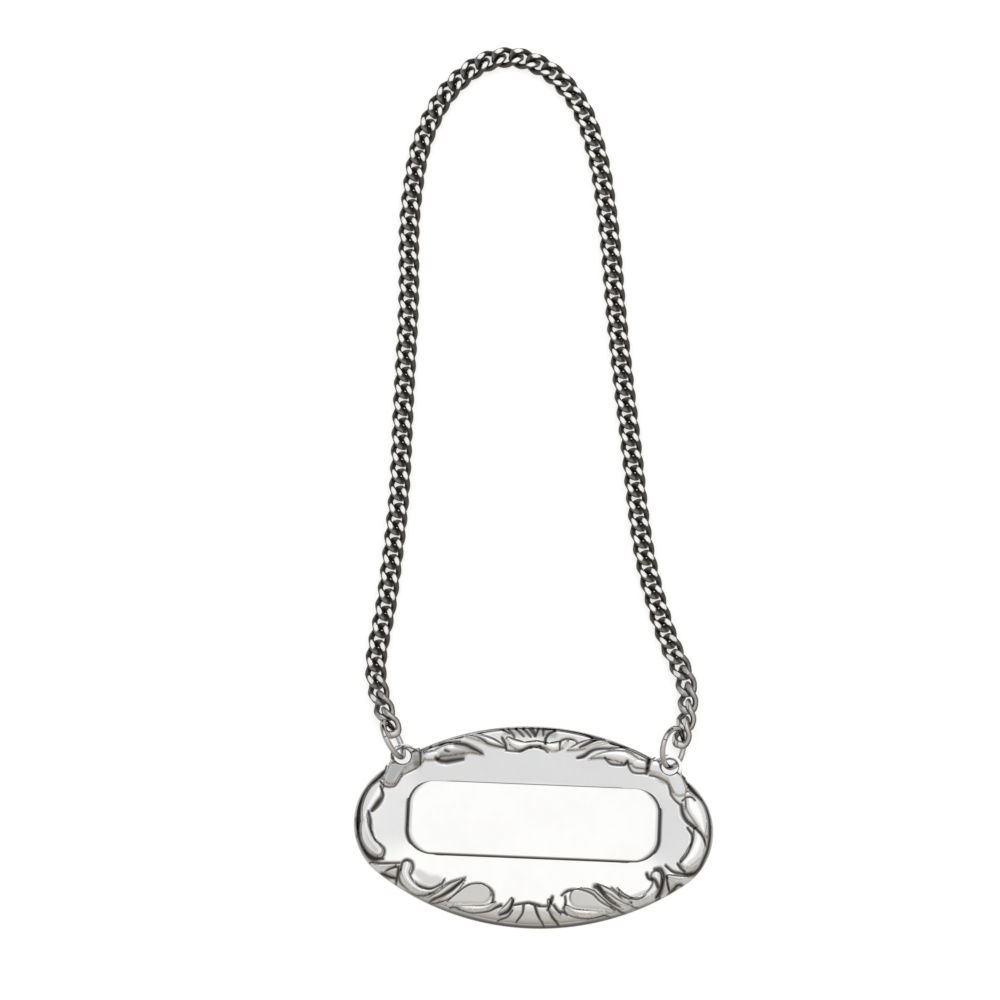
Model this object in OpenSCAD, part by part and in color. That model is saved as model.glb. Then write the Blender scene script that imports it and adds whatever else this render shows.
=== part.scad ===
// Oval silver wine label: a stamped plate that hangs from a loop of curb chain by two jump rings.
// Millimetres. The origin is the centre of the engraving panel's face, +Z is up out of that face,
// +X runs to the right along the plate and +Y towards the chain. The label lies on a table.

/* [Plate] */
// Length of the oval plate
label_w = 51; // [46:0.5:60]
// Height of the oval plate
label_h = 29.4; // [26:0.2:34]
// Radius of the oval's two ends
end_r = 9.3; // [8:0.1:11]
// Thickness of the stamped sheet
sheet = 0.7; // [0.5:0.05:0.8]
// Height of the panel's face above the table
label_depth = 2.4; // [2.2:0.05:3]

/* [Border] */
// Width of the raised border
border_w = 4.8; // [4:0.1:6]
// Distance of the border's crest from the plate's edge
crest_in = 1.9; // [1.5:0.1:2.4]
// Rise of the crest above the field
border_rise = 0.8; // [0.5:0.05:1.2]
// Height of the upright edge
edge_h = 0.5; // [0.3:0.05:0.8]
// Width of the foot under the edge
foot_w = 0.5; // [0.3:0.05:0.8]
// Width of each of the four ties that cross the border, as an angle at the oval's end
tie_angle = 5; // [4:0.5:8]
// Rise of a tie above the border
tie_rise = 0.12; // [0.08:0.02:0.2]

/* [Engraving panel] */
// Length of the panel
panel_w = 35.6; // [30:0.2:38]
// Height of the panel
panel_h = 10.4; // [8:0.2:12]
// Radius of the panel's corners
panel_r = 2.6; // [1:0.1:4]
// Rise of the panel's face above the field
panel_rise = 0.45; // [0.3:0.05:0.7]
// Thickness of the panel's upright wall
panel_wall = 0.5; // [0.3:0.05:0.8]

/* [Ears] */
// Distance between the two ear holes
ear_spacing = 38; // [34:0.2:41]
// Diameter of an ear hole
ear_hole_d = 2.4; // [2.2:0.05:2.8]
// Width of metal round an ear hole
ear_margin = 0.6; // [0.4:0.05:0.9]
// Distance of a hole's centre inside the plate's outline
ear_inset = 0.2; // [0:0.05:0.5]
// Height of the ear's underside above the table
ear_lift = 1.7; // [1.5:0.05:1.8]
// Room between the ear's rim and the cut in the border under it
ear_relief = 0.9; // [0.6:0.05:1.2]

/* [Jump rings] */
// Outside diameter of a jump ring
ring_d = 6.4; // [6:0.1:7]
// Diameter of the ring's wire
ring_wire = 0.8; // [0.6:0.05:0.9]
// Gap where the ring's ends meet
ring_gap = 0.1; // [0.05:0.01:0.3]
// Turn of the left ring from the plate's height, towards the left
left_turn = 25; // [15:1:30]
// Lean of the left ring from upright, towards the left
left_lean = 22; // [15:1:30]
// Turn of the right ring from the plate's height, towards the left
right_turn = -17; // [-25:1:-10]
// Lean of the right ring from upright, towards the left
right_lean = 28; // [20:1:34]

/* [Curb chain] */
// Diameter of the link wire
link_wire = 0.82; // [0.7:0.01:0.9]
// Inside width of a link over its wire diameter
link_aspect = 1.8; // [1.7:0.05:2]
// Distance from one link to the next, before it is fitted to the route
link_pitch = 2.58; // [2.4:0.02:2.8]
// Play between two links along the chain
link_slack = 0.16; // [0.1:0.01:0.2]
// Play between an end link and its jump ring
hook_play = 0.38; // [0.3:0.02:0.45]
// Roll of an end link past the lean of its jump ring
hook_roll = 26; // [20:1:30]
// Slope of the wire at a link's two ends
tip_slope = 52; // [48:1:56]
// Slope of the wire at a link's two sides
side_slope = 45; // [38:1:48]
// Height of the chain's loop above the ear holes
loop_h = 107.9; // [90:0.5:125]
// Number of links at the left ring over which the chain rolls flat
left_roll_links = 4; // [3:1:6]
// Number of links at the right ring over which the chain rolls flat
right_roll_links = 7; // [5:1:9]

/* [Hidden] */
table_z = -label_depth;
field_z = -panel_rise;
crest_z = field_z + border_rise;

// The oval is four arcs: two ends of end_r and two long sides of side_r, tangent where they meet.
end_x = label_w / 2 - end_r;
side_r = (end_x ^ 2 + (label_h / 2) ^ 2 - end_r ^ 2) / (label_h - 2 * end_r);
side_y = side_r - label_h / 2;
end_half_angle = atan2(side_y, end_x);
meet_x = end_x + end_r * cos(end_half_angle);

// The border's arcs meet inside the ties. They stop short of their meeting by one angle, and the field's
// corners by another.
arc_stop = 0.2 * tie_angle;
corner_stop = 0.4 * tie_angle;
side_reach = 180 - end_half_angle - corner_stop;

// Ear holes stand on the plate's outline, moved in along its normal.
ear_x = ear_spacing / 2;
ear_on_side = ear_x < meet_x;
ear_normal = ear_on_side
    ? [ear_x, sqrt(side_r ^ 2 - ear_x ^ 2)] / side_r
    : [ear_x - end_x, sqrt(end_r ^ 2 - (ear_x - end_x) ^ 2)] / end_r;
ear_edge_y = ear_on_side ? side_r * ear_normal.y - side_y : end_r * ear_normal.y;
ear_y = ear_edge_y - ear_inset * ear_normal.y;
ear_r = ear_hole_d / 2 + ear_margin;
ear_z = table_z + ear_lift;
ear_mid_z = ear_z + sheet / 2;

// Jump rings: radius of the centre line, and the angle that the gap takes up
ring_r = (ring_d - ring_wire) / 2;
ring_gap_angle = 360 * ring_gap / (2 * PI * ring_r);

// Half width of a link's centre line, and the distance from the chain's end to the ring wire that it hooks.
link_half_w = link_wire * (link_aspect + 1) / 2;
hook_reach = ring_wire / 2 + hook_play;

// Pieces of mathematics
up = [0, 0, 1];
overlap = 0.4;
bead_extra = 0.025;
bead_cut = 1.5;
profile_steps = 10;
corner_steps = 8;
oval_steps = 16;
route_steps = 12;
function unit(v) = v / norm(v);
function heading(turn) = [-sin(turn), cos(turn), 0];
function smooth(t) = t <= 0 ? 0 : t >= 1 ? 1 : t * t * (3 - 2 * t);

// Border section: height of its face over the distance in from the edge
function border_z(s) = s < crest_in
    ? table_z + edge_h + (crest_z - table_z - edge_h) * sin(90 * max(s, 0) / crest_in)
    : field_z + border_rise * (1 + cos(180 * (s - crest_in) / (border_w - crest_in))) / 2;
function border_back_z(s, grow) = max(table_z + grow, border_z(s - foot_w) - sheet - grow);
border_s = concat(
    [for (i = [1:profile_steps]) crest_in * i / profile_steps],
    [for (i = [1:profile_steps - 1]) crest_in + (border_w - crest_in) * i / profile_steps]);

// The section of an arc whose edge has the radius r, grown all round, with its foot lifted as much
function border_section(r, grow = 0) = concat(
    [[r + grow, table_z + grow], [r + grow, border_z(0) + grow]],
    [for (s = border_s) [r - s, border_z(s) + grow]],
    [[r - border_w - grow, field_z + grow], [r - border_w - grow, field_z - sheet - grow]],
    [for (i = [len(border_s) - 1:-1:0]) [r - border_s[i], border_back_z(border_s[i], grow)]]);

// Outlines with round stretches
function arc(centre, r, from, to, steps) =
    [for (i = [0:steps]) let (a = from + (to - from) * i / steps) centre + r * [cos(a), sin(a)]];
function oval(inset) = let (e = end_half_angle - corner_stop) concat(
    arc([end_x, 0], end_r - inset, -e, e, oval_steps),
    arc([0, -side_y], side_r - inset, 180 - side_reach, side_reach, oval_steps),
    arc([-end_x, 0], end_r - inset, 180 - e, 180 + e, oval_steps),
    arc([0, side_y], side_r - inset, 360 - side_reach, 180 + side_reach, oval_steps));
function rounded_box(w, h, r) = let (x = w / 2 - r, y = h / 2 - r, n = corner_steps) concat(
    arc([x, y], r, 0, 90, n),
    arc([-x, y], r, 90, 180, n),
    arc([-x, -y], r, 180, 270, n),
    arc([x, -y], r, 270, 360, n));

// A ring passes through the middle of its ear hole and rests on the table: its frame and its hook point.
function ring_axes(turn, lean) = let (e = heading(turn), left = cross(up, e))
    [e, sin(lean) * left + cos(lean) * up];
function ring_centre(hole, turn, lean) = let (
    axes = ring_axes(turn, lean),
    rise = (table_z + ring_wire / 2 + ring_r * cos(lean) - ear_mid_z) / cos(lean))
    hole + axes[0] * sqrt(ring_r ^ 2 - rise ^ 2) + axes[1] * rise;
function ring_hook(hole, turn, lean, z) = let (
    axes = ring_axes(turn, lean),
    centre = ring_centre(hole, turn, lean),
    drop = (centre.z - z) / cos(lean))
    centre + axes[0] * sqrt(ring_r ^ 2 - drop ^ 2) - axes[1] * drop;

// A quarter of a link's centre line runs from the middle of an end to the middle of a side, in two arcs.
// They meet tangent at the middle of a line that joins the two ends' tangents at equal reach.
tip_way = [cos(tip_slope), 0, sin(tip_slope)];
flank = [link_half_w, 0, 0];
flank_way = [0, -cos(side_slope), -sin(side_slope)];
function arc_reach(tip) = let (
    gap = flank - tip,
    a = 2 * (1 - tip_way * flank_way),
    b = 2 * gap * (tip_way + flank_way))
    (sqrt(b * b + 4 * a * (gap * gap)) - b) / (2 * a);
function tip_handle(tip) = tip + arc_reach(tip) * tip_way;
function flank_handle(tip) = flank - arc_reach(tip) * flank_way;
function arc_meeting(tip) = (tip_handle(tip) + flank_handle(tip)) / 2;
function link_tip(pitch) = [0, (pitch + link_wire + link_slack) / 2, 0];

// End links are rolled with their rings, and a rolled link's centre is higher over the table.
left_roll = left_lean + hook_roll;
right_roll = right_lean + hook_roll;
link_crown = arc_meeting(link_tip(link_pitch)).z;
function rest_z(roll) = table_z + link_wire / 2 + link_crown * cos(roll) + link_half_w * abs(sin(roll));

left_hole = [-ear_x, ear_y, ear_mid_z];
right_hole = [ear_x, ear_y, ear_mid_z];
left_hook = ring_hook(left_hole, left_turn, left_lean, rest_z(left_roll));
right_hook = ring_hook(right_hole, right_turn, right_lean, rest_z(right_roll));

// Route of the chain on the table, from the left ring round to the right ring. The points between the
// rings are [share of half the ear spacing, share of the loop's height above the ear holes].
route_points = [
    [-1.23, 0.106], [-1.18, 0.216], [-1.13, 0.355], [-1.13, 0.498], [-1.13, 0.639], [-1.15, 0.781],
    [-1.07, 0.883], [-0.86, 0.957], [-0.6, 0.994], [-0.42, 1], [-0.16, 0.985], [0.08, 0.943],
    [0.26, 0.866], [0.37, 0.766], [0.47, 0.623], [0.61, 0.454], [0.78, 0.273], [0.95, 0.178],
    [1.11, 0.111]];
left_way = [heading(left_turn).x, heading(left_turn).y];
right_way = [heading(right_turn).x, heading(right_turn).y];
left_end = [left_hook.x, left_hook.y] - hook_reach * left_way;
right_end = [right_hook.x, right_hook.y] - hook_reach * right_way;
route = concat([left_end], [for (p = route_points) [p.x * ear_x, ear_y + p.y * loop_h]], [right_end]);
last = len(route) - 1;

// A smooth curve through the route: each point's slope is the mean of its two spans, weighted to the shorter.
span = [for (i = [0:last - 1]) norm(route[i + 1] - route[i])];
function span_slope(i) = (route[i + 1] - route[i]) / span[i];
function point_slope(i) =
    i == 0 ? left_way :
    i == last ? -right_way :
    (span_slope(i - 1) * span[i] + span_slope(i) * span[i - 1]) / (span[i - 1] + span[i]);
function between(i, t) = let (u = 1 - t)
    u * u * (1 + 2 * t) * route[i] + t * t * (3 - 2 * t) * route[i + 1]
    + span[i] * t * u * (u * point_slope(i) - t * point_slope(i + 1));
curve = concat(
    [for (i = [0:last - 1], j = [0:route_steps - 1]) between(i, j / route_steps)], [route[last]]);
function lengths(i = 0, sum = 0) = i == len(curve) - 1 ? [sum] :
    concat([sum], lengths(i + 1, sum + norm(curve[i + 1] - curve[i])));
curve_length = lengths();
chain_length = curve_length[len(curve) - 1];
x_table = [for (i = [0:len(curve) - 1]) [curve_length[i], curve[i].x]];
y_table = [for (i = [0:len(curve) - 1]) [curve_length[i], curve[i].y]];

// Links share the route's length evenly, in pairs.
pairs = round(chain_length / link_pitch / 2);
links = 2 * pairs;
pitch = chain_length / links;
tip = link_tip(pitch);
function roll_at(n) =
    left_roll * smooth(1 - (n - 0.5) / left_roll_links)
    - right_roll * smooth(1 - (links - n + 0.5) / right_roll_links);
function at(n) = let (s = n * pitch) [lookup(s, x_table), lookup(s, y_table), rest_z(roll_at(n + 0.5))];

// A link's frame from the joints at its two ends
function link_side(n) = unit(cross(at(n) - at(n - 1), up));
function link_frame(n) = let (
    along = unit(at(n) - at(n - 1)),
    side = link_side(n),
    rise = cross(side, along),
    c = cos(roll_at(n)),
    s = sin(roll_at(n)),
    middle = (at(n) + at(n - 1)) / 2)
    frame(c * side + s * rise, along, c * rise - s * side, middle);
function frame(x, y, z, o) =
    [[x.x, y.x, z.x, o.x], [x.y, y.y, z.y, o.y], [x.z, y.z, z.z, o.z], [0, 0, 0, 1]];

function two_digits(k) = k < 10 ? str("0", k) : str(k);
function pair_name(k) = str("link_pair_", two_digits(k));

// One arc of the border, about a centre, between two directions
module border_arc(centre, r, from, to, grow = 0) {
    translate(centre)
        rotate(from)
            rotate_extrude(angle = to - from, $fn = 120)
                polygon(border_section(r, grow));
}

// Two ends and two sides, with a tie over each place where an end meets a side
module border() {
    end_reach = end_half_angle - arc_stop;
    side_from = end_half_angle + arc_stop * end_r / side_r;
    for (half = [0, 180])
        rotate(half) {
            border_arc([end_x, 0], end_r, -end_reach, end_reach);
            border_arc([0, -side_y], side_r, side_from, 180 - side_from);
            for (meeting = [-end_half_angle, end_half_angle])
                border_arc([end_x, 0], end_r, meeting - tie_angle / 2, meeting + tie_angle / 2, tie_rise);
        }
}

module field() {
    translate([0, 0, field_z - sheet])
        linear_extrude(sheet)
            polygon(oval(border_w - overlap));
}

module panel() {
    translate([0, 0, field_z - sheet / 2])
        linear_extrude(sheet / 2 + panel_rise)
            polygon(rounded_box(panel_w, panel_h, panel_r));
}

// The hollow that the stamp leaves behind the panel
module panel_back() {
    translate([0, 0, table_z])
        linear_extrude(label_depth - sheet)
            polygon(rounded_box(panel_w - 2 * panel_wall, panel_h - 2 * panel_wall, panel_r - panel_wall));
}

module at_ears() {
    for (side = [-1, 1])
        translate([side * ear_x, ear_y, 0])
            children();
}

module label_plate() {
    color("gainsboro")
        difference() {
            union() {
                difference() {
                    union() {
                        border();
                        field();
                        panel();
                    }
                    panel_back();
                    at_ears()
                        translate([0, 0, table_z - 1])
                            cylinder(r = ear_r + ear_relief, h = ear_lift + 1, $fn = 64);
                }
                at_ears()
                    translate([0, 0, ear_z])
                        cylinder(r = ear_r, h = sheet, $fn = 64);
            }
            at_ears()
                translate([0, 0, table_z])
                    cylinder(d = ear_hole_d, h = 2 * label_depth, $fn = 64);
        }
}

// A ring of round wire with its ends butted at the top
module jump_ring(hole, turn, lean) {
    axes = ring_axes(turn, lean);
    color("silver")
        multmatrix(frame(axes[1], cross(cross(axes[0], axes[1]), axes[1]), cross(axes[0], axes[1]),
            ring_centre(hole, turn, lean)))
            rotate(ring_gap_angle / 2)
                rotate_extrude(angle = 360 - ring_gap_angle, $fn = 96)
                    translate([ring_r, 0])
                        circle(d = ring_wire, $fn = 32);
}

module left_jump_ring() {
    jump_ring(left_hole, left_turn, left_lean);
}

module right_jump_ring() {
    jump_ring(right_hole, right_turn, right_lean);
}

// Round wire along the circular arc that leaves one point in a direction and ends at another.
// Both its ends stop a little short, inside the beads.
module wire_arc(from, direction, to) {
    reach = to - from;
    side = reach - (reach * direction) * direction;
    inward = unit(side);
    r = reach * reach / (2 * norm(side));
    multmatrix(frame(-inward, direction, cross(-inward, direction), from + r * inward))
        rotate(bead_cut)
            rotate_extrude(angle = 2 * atan2(norm(side), reach * direction) - 2 * bead_cut, $fn = 72)
                translate([r, 0])
                    circle(d = link_wire, $fn = 32);
}

// A bead, hardly wider than the wire, that joins two arcs of a link
module bead(place) {
    translate(place)
        sphere(d = link_wire + bead_extra, $fn = 32);
}

module quarter_link() {
    meeting = arc_meeting(tip);
    wire_arc(tip, tip_way, meeting);
    wire_arc(meeting, unit(flank_handle(tip) - tip_handle(tip)), flank);
    bead(meeting);
}

module link() {
    for (half_turn = [[0, 0, 0], [180, 0, 0], [0, 180, 0], [0, 0, 180]])
        rotate(half_turn)
            quarter_link();
    for (end = [-1, 1]) {
        bead(end * tip);
        bead(end * flank);
    }
}

// The links that are as far from the left ring as from the right one
module link_pair(k) {
    color("dimgray")
        for (n = [k, links + 1 - k])
            multmatrix(link_frame(n))
                link();
}

label_plate();
left_jump_ring();
right_jump_ring();
for (k = [1:pairs]) link_pair(k);
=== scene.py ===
"""Silver wine label on its curb chain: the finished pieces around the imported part.

Lengths in the shape functions are millimetres in the part's own frame, and meshes are written in metres.
"""
import math

import bmesh
import bpy
import numpy as np
from mathutils import Matrix


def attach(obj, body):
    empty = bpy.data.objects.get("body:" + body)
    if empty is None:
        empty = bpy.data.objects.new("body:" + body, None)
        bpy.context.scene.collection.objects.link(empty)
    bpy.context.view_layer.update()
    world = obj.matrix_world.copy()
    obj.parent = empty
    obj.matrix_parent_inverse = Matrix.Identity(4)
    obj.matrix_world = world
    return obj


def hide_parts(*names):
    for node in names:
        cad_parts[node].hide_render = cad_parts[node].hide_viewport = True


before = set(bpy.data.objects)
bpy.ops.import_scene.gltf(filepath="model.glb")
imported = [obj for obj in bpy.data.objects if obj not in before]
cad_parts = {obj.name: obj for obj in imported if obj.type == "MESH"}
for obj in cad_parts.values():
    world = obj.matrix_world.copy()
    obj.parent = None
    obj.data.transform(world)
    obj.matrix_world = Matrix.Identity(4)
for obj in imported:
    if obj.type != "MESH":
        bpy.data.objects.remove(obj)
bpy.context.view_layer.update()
scene = bpy.context.scene

MM = 0.001

# Sizes of the plate, as in the part's source
LABEL_W = 51.0
LABEL_H = 29.4
END_R = 9.3
SHEET = 0.7
TABLE_Z = -2.4
FIELD_Z = -0.45
EDGE_TOP_Z = -1.9
FOOT_W = 0.5
PANEL_W = 35.6
PANEL_WALL = 0.5
EAR_SPACING = 38.0
EAR_HOLE_R = 1.2
EAR_R = 1.8
EAR_INSET = 0.2
EAR_TOP_Z = 0.0

# The panel's height, corner radius and middle as they are seen, a little off those in the part's source
PANEL_H = 10.7
PANEL_R = 3.5
PANEL_Y = 0.45

# Sizes of the rings and the chain, as in the part's source
RING_R = 2.8
RING_WIRE = 0.8
RING_GAP = 0.1
LEFT_TURN, LEFT_LEAN = 25.0, 22.0
RIGHT_TURN, RIGHT_LEAN = -17.0, 28.0
LINK_WIRE = 0.82
LINK_ASPECT = 1.8
LINK_HALF_W = LINK_WIRE * (LINK_ASPECT + 1) / 2
LINK_PITCH = 2.58
LINK_SLACK = 0.16
HOOK_PLAY = 0.38
HOOK_REACH = RING_WIRE / 2 + HOOK_PLAY
HOOK_ROLL = 26.0
TIP_SLOPE = math.radians(52)
SIDE_SLOPE = math.radians(45)
LEFT_ROLL_LINKS = 4
RIGHT_ROLL_LINKS = 7
LOOP_H = 107.9

# The oval: two end arcs and two side arcs
END_X = LABEL_W / 2 - END_R
SIDE_R = (END_X ** 2 + (LABEL_H / 2) ** 2 - END_R ** 2) / (LABEL_H - 2 * END_R)
SIDE_Y = SIDE_R - LABEL_H / 2
MEET = math.atan2(SIDE_Y, END_X)

# An ear stands on the upper side arc, where its hole is EAR_INSET inside the outline.
EAR_X = EAR_SPACING / 2
EAR_ANGLE = math.acos(EAR_X / SIDE_R)
EAR_OUT = np.array([math.cos(EAR_ANGLE), math.sin(EAR_ANGLE)])
EAR_Y = SIDE_R * EAR_OUT[1] - SIDE_Y - EAR_INSET * EAR_OUT[1]

# Grid of the plate: columns round the outline, and the step between rows in the border
COLUMNS = 1100
ROW_STEP = 0.13
SHARED_ROWS = 21
BORDER_ROWS = 45
EAR_FADE = (SHARED_ROWS - 1) * ROW_STEP
BORDER_IN = (BORDER_ROWS - 1) * ROW_STEP

# Form of the border: its rolled rim, wider below and at the fan, and the dish inside it
RIM_W = 1.6
RIM_LEAN = 0.6
FAN_RIM = 0.9
FAN_HALF_W = 3.5
DISH_SLOPE = 0.05
ORNAMENT_INSET = 0.4

# Painted shade along the lower edge: the darkness of a soft shade, its width, and the width of a dark line
FOOT_SHADE = 0.3
FOOT_SHADE_IN = 1.3
FOOT_LINE = 0.16

# Form of an ear: its fillet, face, bead, arch and least sheet, with radii from the middle of its hole
EAR_FILLET = 0.8
EAR_FACE_R = 2.7
EAR_FACE_FADE = 0.9
EAR_BEAD = 0.015
EAR_BEAD_R = 1.5
EAR_BEAD_HALF_W = 0.32
EAR_ARCH_R = 3.1
EAR_ARCH_FADE = 0.5
EAR_SHEET = 0.35
EAR_SHEET_R = 3.2
EAR_SHEET_FADE = 0.4
# Width of the painted dark ring round each ear hole, which is also cut in
HOLE_SHADE_W = 0.2

# Rows of the panel's wall and face: [distance out from its outline, height, darkness of the painted shade
# along the wall].
# The wall is broader at the panel's two ends.
PANEL_FOOT = 0.2
PANEL_ROWS = [
    [PANEL_FOOT, FIELD_Z, 0], [0.15, FIELD_Z, 0], [0.1, FIELD_Z - 0.02, 0.6], [0.05, FIELD_Z - 0.02, 0.9],
    [0.0, -0.22, 0.9], [-0.05, -0.06, 0.5], [-0.1, -0.01, 0], [-0.16, 0, 0], [-0.2, 0, 0],
    [-1.2, 0, 0], [-3, 0, 0], [-5, 0, 0]]
WALL_EDGE = 0.5
WALL_END = 2.4
WALL_END_FROM = 3.0
WALL_END_FADE = 2.5
LEAST_R = 0.05

# Rows of the hollow behind the panel: [distance out from the hollow's outline, height]
HOLLOW_ROWS = [
    [PANEL_FOOT, FIELD_Z - SHEET], [0.0, FIELD_Z - SHEET], [-0.1, -SHEET - 0.05], [-0.3, -SHEET],
    [-2, -SHEET], [PANEL_WALL + PANEL_FOOT - PANEL_H / 2, -SHEET]]

# Rows across the field, front and back, and how much darker the back is
FRONT_FIELD_ROWS = 5
BACK_FIELD_ROWS = 4
BACK_DARKNESS = 0.2


def smooth(t):
    """Eased step: 0 below 0, 1 above 1, and 3t^2 - 2t^3 between."""
    t = np.clip(t, 0.0, 1.0)
    return t * t * (3 - 2 * t)


def unit(v):
    """Vectors scaled to length 1."""
    return v / np.linalg.norm(v, axis=-1, keepdims=True)


def oval_outline(share):
    """Places and outward directions round the four-arc oval, at shares of its length from the right end."""
    arcs = np.array([
        [END_X, 0, END_R, 0, MEET],
        [0, -SIDE_Y, SIDE_R, MEET, math.pi - MEET],
        [-END_X, 0, END_R, math.pi - MEET, math.pi + MEET],
        [0, SIDE_Y, SIDE_R, math.pi + MEET, 2 * math.pi - MEET],
        [END_X, 0, END_R, 2 * math.pi - MEET, 2 * math.pi]])
    spans = arcs[:, 2] * (arcs[:, 4] - arcs[:, 3])
    ends = np.cumsum(spans)
    along = share * ends[-1]
    which = np.minimum(np.searchsorted(ends, along, side="right"), len(arcs) - 1)
    arc = arcs[which]
    angle = arc[:, 3] + (along - ends[which] + spans[which]) / arc[:, 2]
    out = np.stack([np.cos(angle), np.sin(angle)], 1)
    return arc[:, :2] + arc[:, 2:3] * out, out


def box_outline(share, width, height, radius):
    """Places round a rectangle with round corners, at shares of its length from its right side's middle."""
    x, y = width / 2 - radius, height / 2 - radius
    quarter = np.floor(share * 4).astype(int) % 4
    part = share * 4 - np.floor(share * 4)
    part = np.where(quarter % 2 == 0, part, 1 - part)
    along = part * (x + y + radius * math.pi / 2)
    turn = np.clip((along - y) / radius, 0, math.pi / 2)
    px = x + radius * np.cos(turn) - np.clip(along - y - radius * math.pi / 2, 0, None)
    py = np.minimum(along, y) + radius * np.sin(turn)
    sign_x = np.where((quarter == 1) | (quarter == 2), -1, 1)
    sign_y = np.where(quarter >= 2, -1, 1)
    return np.stack([px * sign_x, py * sign_y], 1)


def ear_bulge(distance):
    """How far the outline stands out at a distance along it from an ear: a circle with two fillets."""
    reach = math.sqrt((EAR_R + EAR_FILLET) ** 2 - (EAR_FILLET + EAR_INSET) ** 2)
    touch = reach * EAR_R / (EAR_R + EAR_FILLET)
    d = np.abs(distance)
    round_part = np.sqrt(np.clip(EAR_R ** 2 - d ** 2, 0, None)) - EAR_INSET
    fillet = EAR_FILLET - np.sqrt(np.clip(EAR_FILLET ** 2 - (reach - d) ** 2, 0, None))
    return np.where(d < touch, round_part, np.where(d < reach, fillet, 0.0))


# Leaves of the left half, mirrored to the right: a spine of [x, y, half width], the crown of the top, and
# how much the top rises to the right and to the chain's side.
LEAVES = {
    "ear_leaf_low": ([[-19.3, 8.2, 1.1], [-20, 7, 1.15], [-20.5, 5.9, 1.05]], 0.06, [0, 0.05]),
    "ear_leaf_in": ([[-18.9, 8.7, 1.1], [-17.7, 9, 1.15], [-16.7, 9.1, 1]], 0.06, [0, 0.05]),
    "end_leaf_upper": ([[-21.7, 5.3, 0.45], [-22.7, 3.7, 1.15], [-23.6, 1.7, 0.95], [-24.2, -0.4, 0.2]],
        0.04, [0.02, 0]),
    "end_leaf_lower": ([[-23.7, 0.3, 0.2], [-23.8, -1.6, 0.8], [-23.1, -3.5, 1], [-21.9, -4.8, 0.9]],
        0.04, [0.02, 0]),
    "tie": ([[-23, -7, 0.3], [-21, -7.1, 0.45], [-19.4, -6.9, 0.35]], 0.1, [0, 0.1]),
    "scroll": ([[-17.6, -6.8, 0.8], [-17.8, -7.9, 0.75], [-17.2, -9.1, 0.65], [-15.9, -10.2, 0.55],
        [-14.4, -10.5, 0.45], [-13.2, -10, 0.35], [-12.2, -8.9, 0.15]], 0.12, [0, -0.03]),
    "long_leaf": ([[-14.6, -11.6, 0.2], [-12.8, -10.9, 0.55], [-11.1, -9.6, 0.6], [-9.2, -8.3, 0.1]],
        0.1, [0, 0.05]),
    "oval_leaf": ([[-11.4, -11.9, 0.35], [-9.9, -11.2, 0.9], [-8.3, -10.6, 1.4], [-7, -10.5, 1.5]],
        0, [0, 0.17]),
    "oval_roll": ([[-10.6, -12.3, 0.15], [-8.6, -12.6, 0.45], [-6.5, -12.5, 0.45], [-4.9, -11.7, 0.2]],
        0.03, [0, 0]),
    "fan_leaf": ([[-2.6, -11, 0.2], [-3, -12.1, 0.5], [-4.3, -13.2, 0.25]], 0.1, [0, 0.1]),
    "top_leaf": ([[-13.9, 9.9, 0.7], [-12.6, 10.3, 0.95], [-10.8, 10.5, 0.8], [-9.2, 10.4, 0.5],
        [-7.3, 9.8, 0.1]], 0.12, [0, 0.05]),
    "top_leaf_base": ([[-15.4, 9.3, 0.7], [-14.3, 9.5, 0.8]], 0.08, [0, 0.05]),
    "top_spray": ([[-10.2, 12.5, 0.2], [-8.2, 12.3, 0.55], [-6.3, 11.7, 0.65], [-4.4, 11, 0.2]],
        0.14, [0, 0]),
    "top_lobe": ([[-4.1, 12.3, 0.4], [-3.3, 11.7, 0.7], [-2.3, 11.4, 0.75], [-1.3, 11.6, 0.5],
        [0, 11.8, 0.5]], 0.12, [0, 0]),
}
# Leaves of the right half alone
RIGHT_LEAVES = {
    "end_leaf_upper": ([[21.6, 5.2, 0.5], [22.6, 3.7, 1.3], [23.6, 1.7, 1.1], [24.2, -0.3, 0.4]],
        0.05, [0, 0]),
    "end_leaf_lower": ([[23.1, 0.1, 0.5], [23.5, -1.6, 1.1], [22.8, -3.5, 1.2], [21.7, -4.7, 0.9]],
        0.06, [0, 0]),
}
LEAF_Z = 0.14
LEAF_EDGE = 0.22
LEAF_REACH = 2.0

# Soft painted shades on the left half and over the top fan: a spine of [x, y, half width], and its darkness.
# A shade ends at SHADE_END half widths.
SHADE_END = 1.3
SHADES = {
    "scroll_bed": ([[-15.9, -7.8, 0.7], [-14.5, -8.8, 1.1], [-13.2, -8.7, 0.8]], 0.32),
    "ear_side": ([[-16.9, 10, 0.9], [-16.9, 9, 1.1], [-16.9, 8.2, 0.8]], 0.6),
    "ear_round": ([[-20.3, 9.4, 0.8], [-19, 10.3, 0.8], [-17.7, 9.3, 0.8], [-18.5, 7.8, 0.8]], 0.4),
    "ear_face": ([[-19.4, 8, 1.2], [-20.2, 6.6, 1.1], [-20.6, 5.6, 0.8]], 0.4),
    "end_leaf": ([[-23.2, -1, 0.6], [-22.9, -3, 0.7], [-21.9, -4.6, 0.6]], 0.22),
    "top_fan": ([[-4.4, 13.3, 0.6], [-2, 13.5, 0.8], [0.5, 13.5, 0.8], [2.4, 13.2, 0.6]], 0.4),
    "top_leaf_body": ([[-13.3, 9.5, 0.7], [-12, 9.7, 0.8], [-10.4, 9.8, 0.6]], 0.42),
    "top_leaf_tip": ([[-11.4, 11, 0.5], [-9.7, 10.8, 0.65], [-8, 10.2, 0.5]], 0.6),
}
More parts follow.
